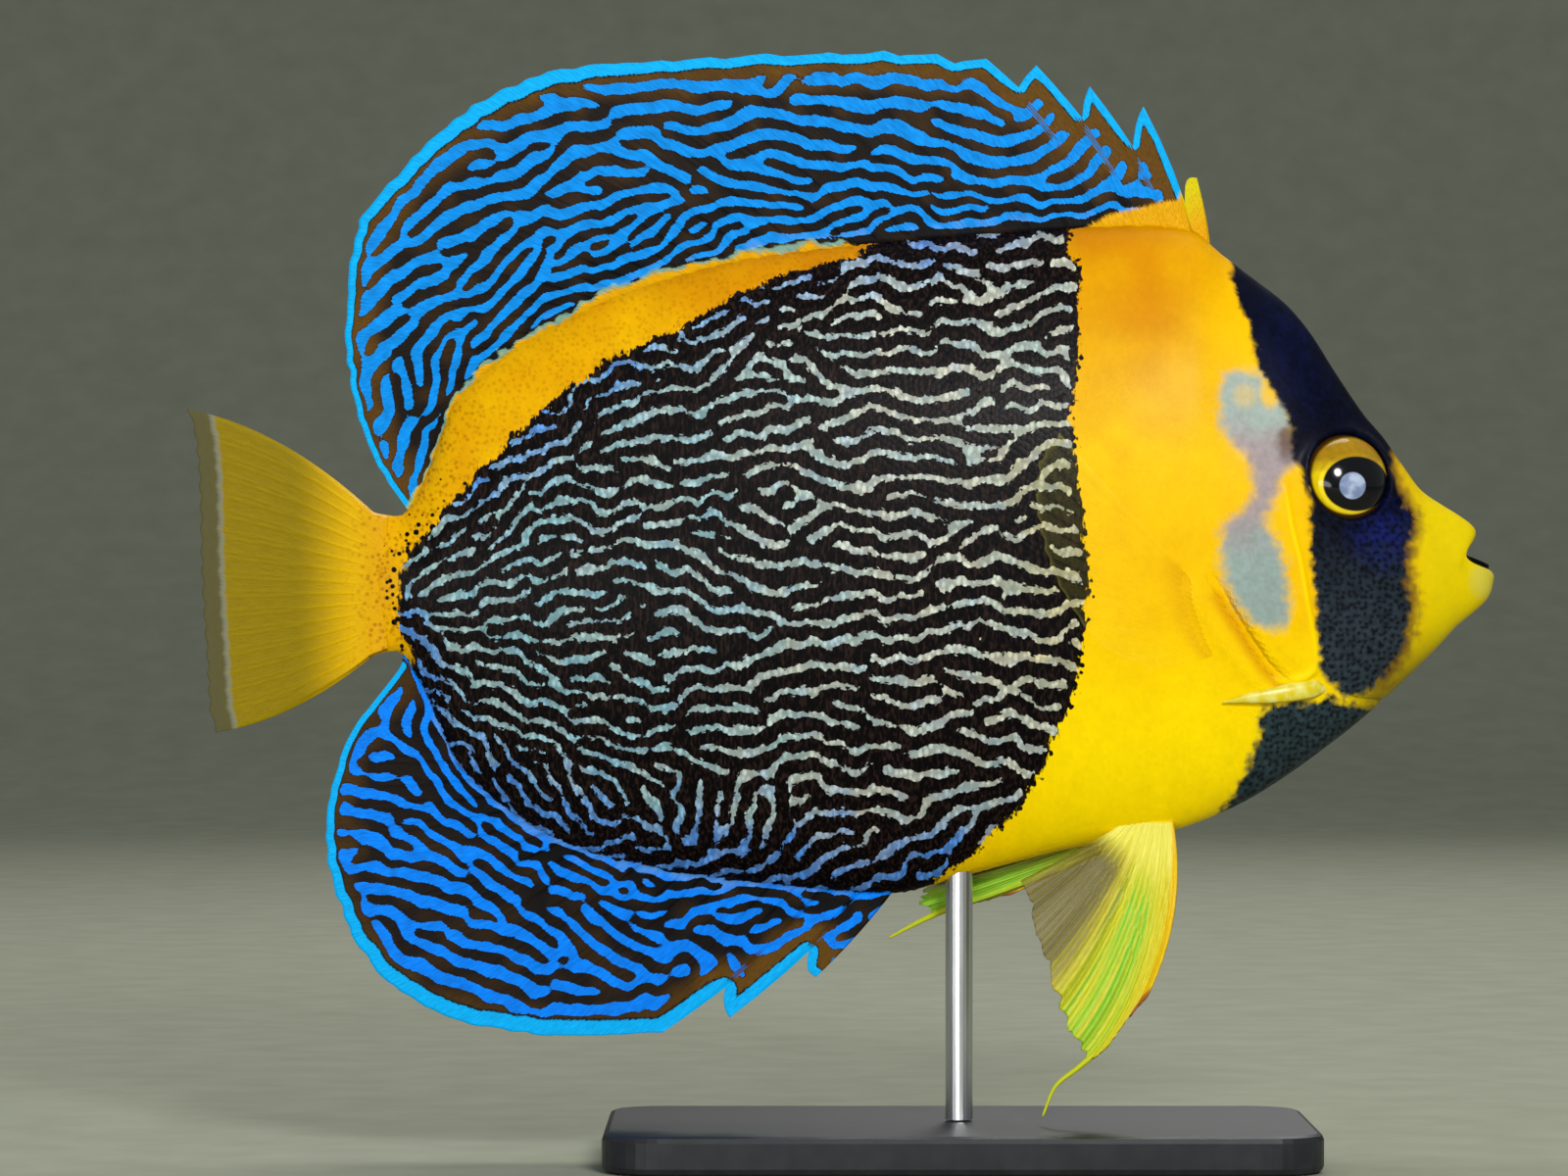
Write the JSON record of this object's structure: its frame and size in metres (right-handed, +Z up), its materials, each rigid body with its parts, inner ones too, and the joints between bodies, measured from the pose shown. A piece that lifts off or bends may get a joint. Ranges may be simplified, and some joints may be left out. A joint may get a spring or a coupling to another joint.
{
  "type": "scribbled angelfish",
  "caption": "Life-size scribbled angelfish, swimming level with its fins spread, held up by one rod on a flat display base.",
  "frame": {"origin": "on the underside of the display base, under the middle of the part's box", "axes": "+X towards the fish's head, +Y towards its left flank, +Z up"},
  "size_m": [0.2402, 0.072, 0.2039],
  "materials": {
    "yellow_skin": "moist yellow skin with fine scales, navy mask on the face",
    "scribbled_skin": "dark brown scales with pale blue-white scribbled lines",
    "blue_fin": "bright blue lines on brown, cyan edge, satin",
    "yellow_fin": "olive yellow fin membrane over rays, satin",
    "clear_fin": "thin yellow to green fin membrane, part clear",
    "cheek_spine": "pale bony spine, smooth",
    "eye": "wet dark eye with a yellow ring and a clear front",
    "stand_base": "satin black display base",
    "stand_rod": "brushed steel rod"
  },
  "bodies": {
    "root": {"head": "yellow_skin", "lower_jaw": "yellow_skin", "trunk": "scribbled_skin", "tail_stalk": "yellow_skin", "dorsal_fin_front": "blue_fin", "dorsal_fin_rear": "blue_fin", "anal_fin": "blue_fin", "caudal_fin": "yellow_fin", "gill_cover_right": "yellow_skin", "gill_cover_left": "yellow_skin", "cheek_spine_right": "cheek_spine", "cheek_spine_left": "cheek_spine", "eye_right": "eye", "eye_left": "eye", "pectoral_fin_right": "clear_fin", "pectoral_fin_left": "clear_fin", "pelvic_fin_right": "clear_fin", "pelvic_fin_left": "clear_fin", "stand_base": "stand_base", "stand_rod": "stand_rod"}
  },
  "joints": []
}
